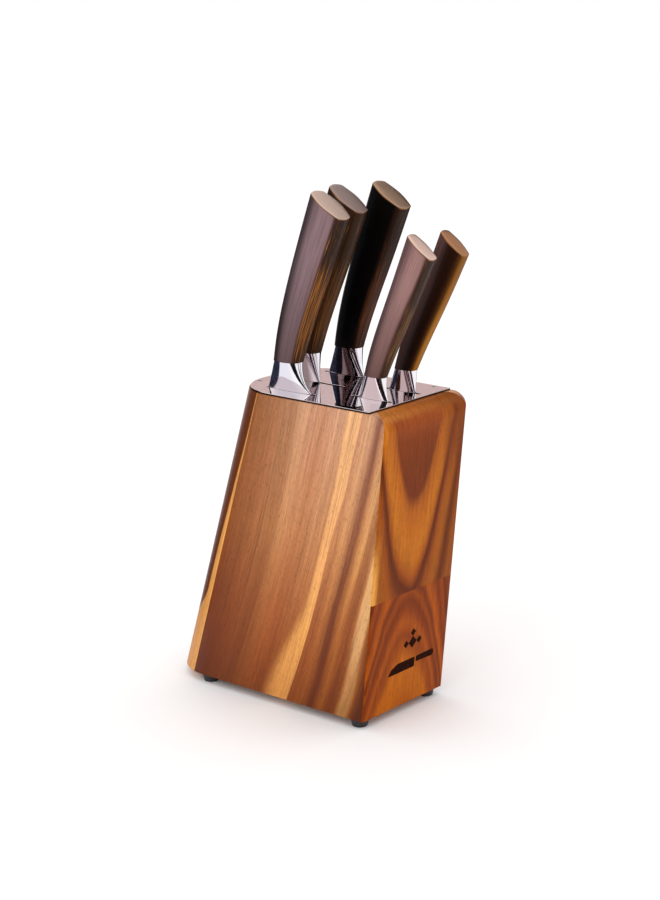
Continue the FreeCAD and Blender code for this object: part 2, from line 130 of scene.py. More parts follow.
# rows from the spine to the edge: share of the depth, half thickness as a share of the spine's
GRIND = ((0.0, 0.5), (0.34, 0.48), (0.70, 0.26), (1.0, 0.12), (1.0, 0.015))
TANG_WIDTH = 0.008
TANG_DIP = 0.004
TANG_SHORT = 0.013
WELD_DISTANCE = 0.00001


def tone(code):
    """Linear colour with alpha from a hex colour code."""
    levels = [int(code[i:i + 2], 16) / 255 for i in (0, 2, 4)]
    return tuple(v / 12.92 if v <= 0.04045 else ((v + 0.055) / 1.055) ** 2.4 for v in levels) + (1.0,)


# ---- settings ------------------------------------------------------------------------
class BlockSettings(PropertyGroup):
    """Finish of the wooden block."""

    lacquer: FloatProperty(
        name="Lacquer roughness", description="Roughness of the satin lacquer",
        default=0.36, min=0.05, max=1.0, subtype="FACTOR")
    fibre_depth: FloatProperty(
        name="Fibre depth", description="Depth of the wood's fibres",
        default=0.00005, min=0.0, max=0.001, unit="LENGTH")
    plate_arris: FloatProperty(
        name="Plate arris", description="Width of the bright arris round the plate and its slots",
        default=0.0003, min=0.0001, max=0.0006, unit="LENGTH")
    rubber: FloatVectorProperty(
        name="Rubber", description="Colour of the feet",
        default=(0.012, 0.012, 0.013), size=3, min=0.0, max=1.0, subtype="COLOR")


class KnifeSettings(PropertyGroup):
    """Shape and finish of the knives."""

    handle_edge: FloatProperty(
        name="Handle edge", description="Sharpness of the handle's long edges",
        default=0.52, min=0.0, max=1.0, subtype="FACTOR")
    bolster_edge: FloatProperty(
        name="Bolster edge", description="Sharpness of the bolster's long edges",
        default=0.34, min=0.0, max=1.0, subtype="FACTOR")
    smoothing: IntProperty(
        name="Smoothing", description="Subdivision levels of handles and bolsters",
        default=3, min=1, max=4, subtype="UNSIGNED")
    cap_dome: FloatProperty(
        name="Cap dome", description="Height of the butt cap's crown",
        default=0.0004, min=0.0, max=0.002, unit="LENGTH")
    spine_thickness: FloatProperty(
        name="Spine thickness", description="Thickness of a blade at its spine",
        default=0.0024, min=0.001, max=0.003, unit="LENGTH")
    cutting_bevel: FloatProperty(
        name="Cutting bevel", description="Height of the ground cutting edge",
        default=0.0010, min=0.0002, max=0.003, unit="LENGTH")


class StudioSettings(PropertyGroup):
    """Floor, light and camera."""

    floor_colour: FloatVectorProperty(
        name="Floor", description="Colour of the floor",
        default=(0.90, 0.90, 0.90), size=3, min=0.0, max=1.0, subtype="COLOR")
    sky_strength: FloatProperty(
        name="Surround light", description="Strength of the even light all round",
        default=1.13, min=0.0, max=5.0, subtype="UNSIGNED")
    key_power: FloatProperty(
        name="Key light", description="Power of the large soft light on the left",
        default=8.0, min=0.0, max=500.0, unit="POWER")
    top_power: FloatProperty(
        name="Top light", description="Power of the large soft light overhead",
        default=4.0, min=0.0, max=500.0, unit="POWER")
    focal_length: FloatProperty(
        name="Focal length", description="Focal length of the camera's lens",
        default=85.2, min=10.0, max=300.0, unit="CAMERA")


# ---- materials -----------------------------------------------------------------------
class Recipe:
    """A material's nodes, wired one step at a time on the object's own coordinates."""

    def __init__(self, name):
        self.material = bpy.data.materials.new(name)
        self.material.use_nodes = True
        self.tree = self.material.node_tree
        self.tree.nodes.clear()
        self.shader = self.tree.nodes.new("ShaderNodeBsdfPrincipled")
        output = self.tree.nodes.new("ShaderNodeOutputMaterial")
        self.tree.links.new(self.shader.outputs["BSDF"], output.inputs["Surface"])
        place = self.tree.nodes.new("ShaderNodeTexCoord")
        parts = self.tree.nodes.new("ShaderNodeSeparateXYZ")
        self.tree.links.new(place.outputs["Object"], parts.inputs[0])
        self.x, self.y, self.z = parts.outputs

    def feed(self, socket, value):
        """Sets a socket to a number or colour, or links another socket to it."""
        if isinstance(value, bpy.types.NodeSocket):
            self.tree.links.new(value, socket)
        else:
            socket.default_value = value

    def math(self, operation, first, second=0.0):
        node = self.tree.nodes.new("ShaderNodeMath")
        node.operation = operation
        self.feed(node.inputs[0], first)
        self.feed(node.inputs[1], second)
        return node.outputs[0]

    def add(self, first, second):
        return self.math("ADD", first, second)

    def subtract(self, first, second):
        return self.math("SUBTRACT", first, second)

    def multiply(self, first, second):
        return self.math("MULTIPLY", first, second)

    def step(self, value, start, end):
        """A smooth step from 0 at start to 1 at end, where end is the greater."""
        node = self.tree.nodes.new("ShaderNodeMapRange")
        node.interpolation_type = "SMOOTHSTEP"
        self.feed(node.inputs["Value"], value)
        self.feed(node.inputs["From Min"], start)
        self.feed(node.inputs["From Max"], end)
        return node.outputs[0]

    def fall(self, value, start, end):
        """A smooth step from 1 at start to 0 at end, where end is the greater."""
        return self.subtract(1.0, self.step(value, start, end))

    def grain(self, places, stretches, detail, roughness):
        """Noise over three places, each multiplied by its own stretch."""
        vector = self.tree.nodes.new("ShaderNodeCombineXYZ")
        for socket, place, stretch in zip(vector.inputs, places, stretches):
            self.feed(socket, self.multiply(place, stretch))
        node = self.tree.nodes.new("ShaderNodeTexNoise")
        self.feed(node.inputs["Vector"], vector.outputs[0])
        node.inputs["Scale"].default_value = 1.0
        node.inputs["Detail"].default_value = detail
        node.inputs["Roughness"].default_value = roughness
        return node.outputs["Fac"]

    def swing(self, value, width):
        """Turns a value between 0 and 1 into an offset of half the width either way."""
        return self.multiply(self.subtract(value, 0.5), width)

    def ramp(self, value, low, high, stops):
        """Colours at places between low and high."""
        place = self.tree.nodes.new("ShaderNodeMapRange")
        self.feed(place.inputs["Value"], value)
        place.inputs["From Min"].default_value = low
        place.inputs["From Max"].default_value = high
        node = self.tree.nodes.new("ShaderNodeValToRGB")
        elements = node.color_ramp.elements
        while len(elements) < len(stops):
            elements.new(0.5)
        for element, (position, code) in zip(elements, stops):
            element.position = (position - low) / (high - low)
            element.color = tone(code) if isinstance(code, str) else (*code, 1.0)
        self.tree.links.new(place.outputs[0], node.inputs[0])
        return node.outputs["Color"]

    def mix(self, factor, first, second, blend="MIX"):
        node = self.tree.nodes.new("ShaderNodeMix")
        node.data_type = "RGBA"
        node.blend_type = blend
        self.feed(node.inputs[0], factor)
        self.feed(node.inputs[6], first)
        self.feed(node.inputs[7], second)
        return node.outputs[2]

    def attribute(self, name):
        """A number stored on the mesh."""
        node = self.tree.nodes.new("ShaderNodeAttribute")
        node.attribute_name = name
        return node.outputs["Fac"]

    def shade(self, colour, value, amount):
        """Multiplies a colour by a grey that swings by amount about one."""
        grey = self.add(self.swing(value, 2 * amount), 1.0)
        return self.mix(1.0, colour, grey, "MULTIPLY")

    def bump(self, height, depth):
        node = self.tree.nodes.new("ShaderNodeBump")
        node.inputs["Strength"].default_value = 1.0
        node.inputs["Distance"].default_value = depth
        self.feed(node.inputs["Height"], height)
        self.tree.links.new(node.outputs[0], self.shader.inputs["Normal"])

    def finish(self, colour, roughness, **constants):
        """Sets the shader's colour, roughness and any other inputs by name."""
        self.feed(self.shader.inputs["Base Color"], colour)
        self.feed(self.shader.inputs["Roughness"], roughness)
        for name, value in constants.items():
            self.shader.inputs[name.replace("_", " ")].default_value = value
        return self.material


def wood_detail(recipe, colour, across, along, through, settings, shine=0.12):
    """Fibres, slow streaks and dark pores over a wood colour, then the lacquer."""
    streak = recipe.grain((across, along, through), (420.0, 10.0, 120.0), 3.0, 0.65)
    line = recipe.grain((across, along, through), (900.0, 6.0, 60.0), 2.0, 0.5)
    fibre = recipe.grain((across, along, through), (1700.0, 90.0, 500.0), 3.0, 0.7)
    pore = recipe.grain((across, along, through), (2300.0, 230.0, 900.0), 1.0, 0.4)
    colour = recipe.shade(colour, streak, 0.36)
    colour = recipe.shade(colour, fibre, 0.42)
    colour = recipe.mix(recipe.multiply(recipe.step(line, 0.56, 0.72), 0.34), colour, tone("5a2c12"))
    dark = recipe.step(pore, 0.60, 0.72)
    colour = recipe.mix(recipe.multiply(dark, 0.40), colour, tone("3a1a0a"))
    recipe.bump(recipe.subtract(fibre, recipe.multiply(dark, 0.6)), settings.fibre_depth)
    rough = recipe.add(recipe.multiply(streak, 0.16), settings.lacquer - 0.08)
    return recipe.finish(colour, rough, Specular_IOR_Level=shine)


def side_grain(recipe):
    """Distance behind the side panel's pale stripe, and distance along the grain."""
    bend = recipe.multiply(recipe.math("POWER", recipe.z, 2.0), 0.325)
    line = recipe.add(recipe.multiply(recipe.z, -0.3850), bend)
    across = recipe.subtract(recipe.y, recipe.add(line, -0.00522))
    along = recipe.subtract(recipe.multiply(recipe.z, GRAIN_UP), recipe.multiply(recipe.y, GRAIN_BACK))
    return across, along


def side_wood(settings):
    """Striped acacia of the side panels: a pale sapwood stripe between two heartwoods, with painted
    shade towards the bottom and a painted sheen at the top.
    """
    recipe = Recipe("acacia_side_finish")
    across, along = side_grain(recipe)
    wave = recipe.grain((across, along, recipe.x), (50.0, 8.0, 20.0), 2.0, 0.5)
    place = recipe.add(across, recipe.swing(wave, 0.006))
    spread = recipe.add(1.0, recipe.multiply(recipe.fall(recipe.z, 0.010, 0.095), 0.16))
    stripes = recipe.ramp(recipe.math("DIVIDE", place, spread), -0.064, 0.0, [
        (-0.0640, "96654a"), (-0.0590, "8a5740"), (-0.0555, "95634a"), (-0.0500, "8c5b40"),
        (-0.0470, "a87a56"), (-0.0430, "e4bb88"), (-0.0385, "ecc896"), (-0.0350, "c9986f"),
        (-0.0310, "a87454"), (-0.0270, "c08a62"), (-0.0235, "dcae7c"), (-0.0195, "c48f66"),
        (-0.0165, "8f5c44"), (-0.0135, "996650"), (-0.0105, "c3926e"), (-0.0060, "d8a67c"),
        (-0.0010, "cc9570")])
    body = recipe.ramp(place, 0.010, 0.116, [
        (0.010, "cc9874"), (0.022, "d29e7a"), (0.032, "c48c68"), (0.042, "cc9672"), (0.051, "cb9a74"),
        (0.058, "ad7a56"), (0.066, "b27e58"), (0.076, "a8704a"), (0.086, "9c653c"), (0.097, "955a2e"),
        (0.108, "8a5128")])
    heart = recipe.mix(recipe.step(place, 0.0, 0.002), stripes, body)
    # Partly the wood's own tone and partly painted light: painted shade makes the side darker and redder
    # towards the bottom, and a painted sheen makes it paler and cooler at the top.
    painted_light_and_tone = recipe.ramp(recipe.z, 0.0, 0.230, [
        (0.000, (0.30, 0.13, 0.025)), (0.020, (0.36, 0.16, 0.04)), (0.045, (0.45, 0.22, 0.07)),
        (0.075, (0.56, 0.32, 0.15)), (0.105, (0.68, 0.47, 0.28)), (0.135, (0.82, 0.66, 0.46)),
        (0.200, (0.87, 0.80, 0.74)), (0.230, (0.87, 0.85, 0.88))])
    heart = recipe.mix(1.0, heart, painted_light_and_tone, "MULTIPLY")
    first, full, fading, last = (
        recipe.multiply(spread, limit) for limit in (-0.0455, -0.0420, -0.0385, -0.0345))
    streak = recipe.multiply(recipe.step(place, first, full), recipe.fall(place, fading, last))
    # The streak's colour here and the sapwood stripe's below grow darker towards the bottom, partly the
    # wood's own tone and partly painted shade.
    streak_colour = recipe.ramp(recipe.z, 0.0, 0.140, [
        (0.010, "a06e3c"), (0.040, "ba8450"), (0.070, "d8a670"), (0.140, "e0ad70")])
    heart = recipe.mix(recipe.multiply(streak, 0.85), heart, streak_colour)
    pale = recipe.ramp(recipe.z, 0.0, 0.230, [
        (0.010, "c88542"), (0.060, "d8974f"), (0.120, "dfa062"), (0.230, "e2ab78")])
    width = recipe.add(0.0115, recipe.multiply(recipe.fall(recipe.z, 0.010, 0.090), 0.011))
    fade = recipe.add(0.003, recipe.multiply(recipe.fall(recipe.z, 0.020, 0.110), 0.004))
    start = recipe.multiply(recipe.fall(recipe.z, 0.130, 0.180), 0.0030)
    front_edge = recipe.step(place, start, recipe.add(start, 0.0010))
    back_edge = recipe.fall(place, recipe.subtract(width, fade), recipe.add(width, fade))
    colour = recipe.mix(recipe.multiply(front_edge, back_edge), heart, pale)
    return wood_detail(recipe, colour, across, along, recipe.x, settings, 0.15)


def upper_front_wood(settings):
    """Flat-sawn acacia: nested U shapes, dark in the middle of the top."""
    recipe = Recipe("acacia_front_upper_finish")
    sway = recipe.grain((recipe.x, recipe.z, recipe.y), (25.0, 9.0, 1.0), 2.0, 0.5)
    shift = recipe.swing(sway, 0.030)
    offset = recipe.math("ABSOLUTE", recipe.add(recipe.x, 0.005))
    lopside = recipe.multiply(recipe.step(recipe.x, -0.010, 0.010), 0.2)
    offset = recipe.multiply(offset, recipe.add(1.0, lopside))
    rise = recipe.multiply(recipe.math("POWER", offset, 2.0), 60.0)
    level = recipe.add(recipe.subtract(recipe.z, rise), shift)
    colour = recipe.ramp(level, -0.060, 0.230, [
        (-0.060, "8c4812"), (-0.030, "743605"), (-0.012, "602800"), (0.000, "6c2e04"), (0.030, "96500e"),
        (0.055, "9a500e"), (0.073, "8e430a"), (0.086, "682c06"), (0.094, "5e2402"), (0.103, "96480c"),
        (0.113, "b06212"), (0.125, "ba6a16"), (0.142, "b46215"), (0.160, "a25414"),
        (0.190, "9a5016"), (0.230, "984c18")])
    core_offset = recipe.math("POWER", recipe.add(recipe.x, 0.008), 2.0)
    core_rise = recipe.subtract(recipe.z, recipe.multiply(core_offset, 87.0))
    core = recipe.add(core_rise, recipe.multiply(shift, 0.6))
    core_colour = recipe.ramp(recipe.z, 0.150, 0.230, [
        (0.150, "6c2c0a"), (0.190, "743208"), (0.207, "7c360c"), (0.222, "944618")])
    colour = recipe.mix(recipe.step(core, 0.153, 0.166), colour, core_colour)
    far_top = recipe.multiply(recipe.step(recipe.x, 0.014, 0.030), recipe.step(recipe.z, 0.160, 0.200))
    colour = recipe.mix(recipe.multiply(far_top, 0.7), colour, tone("74340c"))
    near_edge = recipe.fall(recipe.x, -0.0445, -0.0395)
    golden = recipe.multiply(near_edge, recipe.fall(recipe.z, 0.105, 0.150))
    colour = recipe.mix(golden, colour, tone("dc9644"))
    crown = recipe.step(recipe.z, 0.2215, 0.2255)
    crown_colour = recipe.ramp(recipe.x, -0.047, 0.047, [
        (-0.047, "bc7430"), (-0.010, "a45c1e"), (0.047, "7c400e")])
    colour = recipe.mix(recipe.multiply(crown, 0.85), colour, crown_colour)
    return wood_detail(recipe, colour, recipe.x, recipe.z, recipe.y, settings, 0.06)


def lower_front_wood(settings):
    """Flat-sawn acacia with nested arches, redder and darker than the upper board."""
    recipe = Recipe("acacia_front_lower_finish")
    sway = recipe.grain((recipe.x, recipe.z, recipe.y), (30.0, 14.0, 1.0), 2.0, 0.5)
    offset = recipe.math("POWER", recipe.math("ABSOLUTE", recipe.add(recipe.x, 0.004)), 2.0)
    level = recipe.add(recipe.add(recipe.z, recipe.multiply(offset, 41.0)), recipe.swing(sway, 0.030))
    colour = recipe.ramp(level, 0.0, 0.170, [
        (0.000, "a55618"), (0.020, "bb6a26"), (0.038, "bd6c26"), (0.050, "9c4f1c"), (0.060, "8d431a"),
        (0.070, "a8561f"), (0.078, "8a3f14"), (0.086, "7a3410"), (0.094, "95491a"), (0.102, "74300e"),
        (0.112, "b05a22"), (0.122, "9c4c1c"), (0.132, "7c3512"), (0.146, "93461a"), (0.156, "6d2c0d"),
        (0.170, "854018")])
    colour = recipe.mix(1.0, colour, (0.90, 0.76, 0.12, 1.0), "MULTIPLY")
    return wood_detail(recipe, colour, recipe.x, recipe.z, recipe.y, settings, 0.06)


def back_wood(settings):
    """Acacia of the back board: dark heartwood, with pale edges at the glue joints."""
    recipe = Recipe("acacia_back_finish")
    depth = recipe.add(recipe.multiply(recipe.y, GRAIN_UP), recipe.multiply(recipe.z, GRAIN_BACK))
    along = recipe.subtract(recipe.multiply(recipe.z, GRAIN_UP), recipe.multiply(recipe.y, GRAIN_BACK))
    wave = recipe.grain((recipe.x, along, depth), (45.0, 6.0, 30.0), 3.0, 0.55)
    place = recipe.add(recipe.x, recipe.swing(wave, 0.030))
    heart = recipe.ramp(place, -0.047, 0.047, [
        (-0.047, "5c2a0c"), (-0.038, "5e2c10"), (-0.028, "8a481e"), (-0.020, "7c3f1a"),
        (-0.008, "a8622f"), (0.002, "8a4a20"), (0.012, "b06a34"), (0.020, "7e401b"),
        (0.030, "9c5728"), (0.040, "6e3717"), (0.047, "80451f")])
    behind = recipe.subtract(depth, BACK_JOINT)
    width = recipe.add(recipe.add(0.0003, recipe.multiply(recipe.fall(recipe.z, 0.070, 0.225), 0.0055)),
                       recipe.multiply(recipe.fall(recipe.z, 0.015, 0.075), 0.030))
    pale = recipe.ramp(behind, 0.0, 0.030, [
        (0.0, "d8984e"), (0.004, "d09048"), (0.012, "c07e3c"), (0.030, "8a5020")])
    edge = recipe.fall(behind, recipe.subtract(width, 0.0012), recipe.add(width, 0.0006))
    colour = recipe.mix(edge, heart, pale)
    return wood_detail(recipe, colour, recipe.add(recipe.x, depth), along, recipe.x, settings)


def inner_wood(settings):
    """Raw sawn wood of the boards inside."""
    recipe = Recipe("inner_wood_finish")
    wave = recipe.grain((recipe.x, recipe.y, recipe.z), (60.0, 60.0, 6.0), 3.0, 0.5)
    colour = recipe.ramp(wave, 0.3, 0.7, [(0.3, "a87444"), (0.5, "c08a56"), (0.7, "cc9a66")])
    return wood_detail(recipe, colour, recipe.add(recipe.x, recipe.y), recipe.z, recipe.y, settings)


def burnt_wood():
    """Charred wood of the burnt mark."""
    recipe = Recipe("burnt_finish")
    grit = recipe.grain((recipe.x, recipe.y, recipe.z), (900.0, 900.0, 500.0), 2.0, 0.6)
    colour = recipe.ramp(grit, 0.3, 0.7, [(0.3, "160600"), (0.55, "240a02"), (0.7, "3a1606")])
    recipe.bump(grit, 0.0001)
    return recipe.finish(colour, 0.7, Specular_IOR_Level=0.03)


def polished_plate():
    """Mirror-finished plate whose side edges are dull and dark."""
    recipe = Recipe("polished_plate_finish")
    edge = recipe.fall(recipe.z, PLATE_TOP - 0.00045, PLATE_TOP - 0.00020)
    brush = recipe.grain((recipe.x, recipe.y, 0.0), (40.0, 1500.0, 1.0), 2.0, 0.6)
    face = recipe.mix(brush, tone("d6c8c9"), tone("e2d6d6"))
    colour = recipe.mix(edge, face, tone("3a2a26"))
    rough = recipe.add(recipe.multiply(edge, 0.40), recipe.multiply(brush, 0.07))
    return recipe.finish(colour, rough, Metallic=1.0)


def turned_steel():
    """Bright turned steel of the screws."""
    recipe = Recipe("screw_steel_finish")
    rings = recipe.grain((recipe.x, recipe.y, 0.0), (3000.0, 3000.0, 1.0), 2.0, 0.5)
    colour = recipe.mix(rings, tone("a8a2a0"), tone("dcd8d6"))
    return recipe.finish(colour, recipe.add(recipe.multiply(rings, 0.12), 0.16), Metallic=1.0)


def foot_rubber(settings):
    """Black moulded rubber."""
    recipe = Recipe("foot_rubber_finish")
    grain = recipe.grain((recipe.x, recipe.y, recipe.z), (2500.0, 2500.0, 2500.0), 2.0, 0.6)
    recipe.bump(grain, 0.00003)
    base = (*settings.rubber, 1.0)
    worn = recipe.mix(recipe.step(grain, 0.45, 0.75), base, (0.03, 0.03, 0.032, 1.0))
    return recipe.finish(worn, recipe.add(recipe.multiply(grain, 0.3), 0.40))


def knife_axes(recipe, lean):
    """Distance across a knife, towards its spine, and along it."""
    across = recipe.add(recipe.multiply(recipe.y, cos(lean)), recipe.multiply(recipe.z, sin(lean)))
    along = recipe.subtract(recipe.multiply(recipe.z, cos(lean)), recipe.multiply(recipe.y, sin(lean)))
    return across, along


def blade_steel(lean):
    """Satin steel, ground across the blade."""
    recipe = Recipe("blade_steel_finish")
    across, along = knife_axes(recipe, lean)
    grind = recipe.grain((along, across, 0.0), (4000.0, 60.0, 1.0), 3.0, 0.6)
    cloud = recipe.grain((along, across, 0.0), (30.0, 30.0, 1.0), 2.0, 0.5)
    colour = recipe.mix(grind, tone("b8b8bb"), tone("dcdcde"))
    recipe.bump(grind, 0.000006)
    rough = recipe.add(recipe.multiply(grind, 0.12), recipe.add(recipe.multiply(cloud, 0.08), 0.16))
    return recipe.finish(colour, rough, Metallic=1.0)


# Painted reflections: the tone each knife's bolster shows on its broad sides, from what it mirrors.
BOLSTER_REFLECTION_TONES = {
    "chef_knife": "dcdbe6",
    "slicing_knife": "9c8e90",
    "bread_knife": "807072",
    "utility_knife": "e0d4d8",
    "paring_knife": "cfc0c2",
}


def bolster_steel(knife):
    """Mirror-polished steel with the faintest haze, with painted reflections: each knife's own tone on
    the broad sides, bright near-white on the narrow faces.
    """
    recipe = Recipe(knife + "_bolster_finish")
    haze = recipe.grain((recipe.x, recipe.y, recipe.z), (300.0, 300.0, 300.0), 3.0, 0.6)
    turn = recipe.math("ABSOLUTE", recipe.attribute("turn"))
    # Painted reflection: the narrow faces are painted near-white.
    colour = recipe.mix(recipe.step(turn, 0.20, 0.42), tone(BOLSTER_REFLECTION_TONES[knife]), tone("ecebf1"))
    return recipe.finish(colour, recipe.add(recipe.multiply(haze, 0.05), 0.04), Metallic=1.0)


# Each knife's cap: a dark and a light tone, the champagne metal with the warm or cool light it mirrors
# painted in.
CAP_METAL_AND_REFLECTION_TONES = {
    "chef_knife": ("a88c7a", "c8b4a8"),
    "slicing_knife": ("7c6862", "9c8882"),
    "bread_knife": ("8a6c54", "b0927c"),
    "utility_knife": ("c4a090", "dcc4b8"),
    "paring_knife": ("8a5a3a", "b48664"),
}


def champagne_cap(knife):
    """Satin champagne metal with a painted golden-brown highlight round its edge where it meets the
    wood.
    """
    recipe = Recipe(knife + "_cap_finish")
    brush = recipe.grain((recipe.x, recipe.y, recipe.z), (900.0, 60.0, 60.0), 3.0, 0.6)
    dark, light = CAP_METAL_AND_REFLECTION_TONES[knife]
    colour = recipe.mix(brush, tone(dark), tone(light))
    # Painted highlight: the edge next to the wood is painted golden brown.
    painted_rim_highlight = recipe.fall(recipe.attribute("length"), 0.30, 0.62)
    colour = recipe.mix(recipe.multiply(painted_rim_highlight, 0.85), colour, tone("8a5c30"))
    recipe.bump(brush, 0.000008)
    return recipe.finish(colour, recipe.add(recipe.multiply(brush, 0.14), 0.30), Metallic=1.0)


# for each knife: broad side at the spine, its middle and near the front face, then the
# front face's dark wood and its gold, and how much of the front face is golden
# The broad side's tones hold painted sheen: the lighter middle band on most knives, and the paring
# knife's pale spine tone is a painted highlight.
HANDLE_TONES = {
    "chef_knife": ("33282b", "7b656a", "5c3a34", "33221a", "a0642a", 0.80),
    "slicing_knife": ("20140f", "3c2418", "40281a", "35200f", "7a4a1c", 0.70),
    "bread_knife": ("060303", "080404", "160b07", "28150b", "6e3a1a", 0.70),
    "utility_knife": ("553f40", "8c6b68", "5c3c37", "34241c", "8c5c2c", 0.60),
    "paring_knife": ("553c3a", "240f06", "3c1c08", "4a2806", "985f0a", 1.00),
}


def handle_wood(knife):
    """Dark streaked wood whose front face carries lighter, golden streaks."""
    spine_code, middle_tone_and_sheen_code, near_code, front_code, gold_code, share = HANDLE_TONES[knife]
    recipe = Recipe(knife + "_wood_finish")
    turn, length = recipe.attribute("turn"), recipe.attribute("length")
    wave = recipe.grain((turn, length, recipe.x), (4.0, 0.7, 40.0), 3.0, 0.6)
    fine = recipe.grain((turn, length, recipe.x), (26.0, 3.0, 300.0), 3.0, 0.65)
    # Painted sheen: the broad side's tones run from the spine to the front face, with the lighter band
    # of painted sheen between.
    side = recipe.ramp(recipe.add(turn, recipe.swing(wave, 0.5)), -0.7, 0.6, [
        (-0.7, spine_code), (-0.38, spine_code), (0.05, middle_tone_and_sheen_code), (0.28, middle_tone_and_sheen_code),
        (0.45, near_code)])
    # Painted shade: the handle is painted darker towards the bolster and lighter towards the butt.
    painted_light_and_tone = recipe.ramp(length, 0.0, 1.0, [
        (0.0, (0.50, 0.45, 0.43)), (0.35, (0.74, 0.70, 0.69)), (0.70, (1.05, 1.02, 1.0)),
        (1.0, (1.0, 0.96, 0.95))])
    side = recipe.mix(1.0, side, painted_light_and_tone, "MULTIPLY")
    lower = recipe.multiply(recipe.fall(recipe.add(length, recipe.swing(fine, 0.5)), 0.35, 0.90),
                            recipe.step(length, -0.10, 0.22))
    streak = recipe.step(fine, recipe.subtract(0.62, recipe.multiply(lower, 0.30 * share + 0.05)), 0.70)
    gold = recipe.multiply(streak, min(1.0, share + 0.2))
    if share == 1.0:
        ripe = recipe.add(recipe.multiply(recipe.fall(length, 0.30, 1.00), 0.45), 0.45)
        ripe = recipe.add(ripe, recipe.multiply(fine, 0.2))
        gold = recipe.multiply(recipe.step(turn, 0.42, 0.80), ripe)
    front = recipe.mix(gold, tone(front_code), tone(gold_code))
    colour = recipe.mix(recipe.step(turn, 0.38, 0.46), side, front)
    colour = recipe.shade(colour, fine, 0.55)
    recipe.bump(fine, 0.00002)
    rough = recipe.add(recipe.multiply(fine, 0.16), 0.30)
    return recipe.finish(colour, rough, Specular_IOR_Level=0.11)


# ---- mesh helpers --------------------------------------------------------------------
def new_piece(name, bm, body, material, nodes=()):
    """Turns a bmesh into a smooth piece that rides on a body and stands for CAD nodes."""
    bmesh.ops.recalc_face_normals(bm, faces=bm.faces)
    mesh = bpy.data.meshes.new(name)
    bm.to_mesh(mesh)
    bm.free()
    mesh.shade_smooth()
    mesh.materials.append(material)
    piece = bpy.data.objects.new(name, mesh)
    bpy.context.scene.collection.objects.link(piece)
    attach(piece, body)
    if nodes:
        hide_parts(*nodes)
    return piece


def smooth_piece(piece, levels):
    """Adds a subdivision surface."""
    modifier = piece.modifiers.new("smooth", "SUBSURF")
    modifier.levels = levels
    modifier.render_levels = levels
    return piece


def paint(node, material):
    """Gives a CAD node its finish."""
    slots = frame["nodes"][node].material_slots
    for slot in slots:
        slot.material = material


def new_shape():
    """An empty bmesh with the layers that the sections fill in."""
    bm = bmesh.new()
    bm.verts.layers.float.new("turn")
    bm.verts.layers.float.new("length")
    bm.edges.layers.float.new("crease_edge")
    return bm


def add_section(bm, centre, tilt, depth, thick, facet, sag, length):
    """A ring of eight points: two bowed broad sides and two narrow bowed faces.

    A subdivision surface pulls the middle of each bow in, so the middles start further out.
    Each point notes its place round the section (-1 spine, 0 side, 1 edge) and along it.
    """
    back = Vector((0, cos(tilt), sin(tilt)))
    side = Vector((1, 0, 0))
    corner_side, corner_back = facet / 2, depth / 2 - sag
    middle_side = 1.5 * thick / 2 - 0.5 * corner_side
    middle_back = 1.5 * depth / 2 - 0.5 * corner_back
    turn_layer, length_layer = bm.verts.layers.float["turn"], bm.verts.layers.float["length"]
    ring = bmesh.ops.create_circle(bm, radius=1.0, segments=8)["verts"]
    for vert in ring:
        u, v = round(vert.co.x), round(vert.co.y)
        out, up = (corner_side, corner_back) if u and v else (middle_side, middle_back)
        vert.co = centre + side * out * u + back * up * v
        vert[turn_layer] = -v / 2 if u else -v
        vert[length_layer] = length
    return ring


def ring_edges(ring):
    """Edges whose two ends are both in a ring."""
    members = set(ring)
    return [edge for edge in {e for v in ring for e in v.link_edges} if set(edge.verts) <= members]


def join_rings(bm, rings, edge_crease):
    """Bridges rings one after another, closes both ends and creases the long edges."""
    for first, second in zip(rings, rings[1:]):
        bmesh.ops.bridge_loops(bm, edges=ring_edges(first) + ring_edges(second))
    crease = bm.edges.layers.float["crease_edge"]
    for first, second in zip(rings, rings[1:]):
        for low, high in zip(first[1::2], second[1::2]):
            bm.edges.get((low, high))[crease] = edge_crease
    for ring in (rings[0], rings[-1]):
        bmesh.ops.contextual_create(bm, geom=ring_edges(ring))
        for edge in ring_edges(ring):
            edge[crease] = 1.0
            edge.smooth = False


# ---- knife geometry ------------------------------------------------------------------
def knife_point(knife, along, across):
    """Point in the frame at a distance along a knife and an offset towards its spine."""
    lean = LEANS[knife]
    low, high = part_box(knife + "_blade")
    y = PLATE_FRONT + KNIVES[knife].spine + across * cos(lean) - along * sin(lean)
    return Vector(((low.x + high.x) / 2, y, PLATE_TOP + across * sin(lean) + along * cos(lean)))


def handle_section(bm, knife, index, drop=0.0, shrink=0.0):
    """The ring of one handle section, lowered along the butt's normal and shrunk."""
    stations = KNIVES[knife].stations
    along, across, depth, thick = stations[index]
    length = (along - stations[0][0]) / (stations[-1][0] - stations[0][0])
    tilt = index / (len(stations) - 1) * (LEANS[knife] + BUTT_TILT)
    centre = knife_point(knife, along, across) - Vector((0, -sin(tilt), cos(tilt))) * drop
    facet, sag = thick * FACET_SHARE - shrink / 2, thick * SAG_SHARE
    return add_section(bm, centre, tilt, depth - shrink, thick - shrink, facet, sag, length)


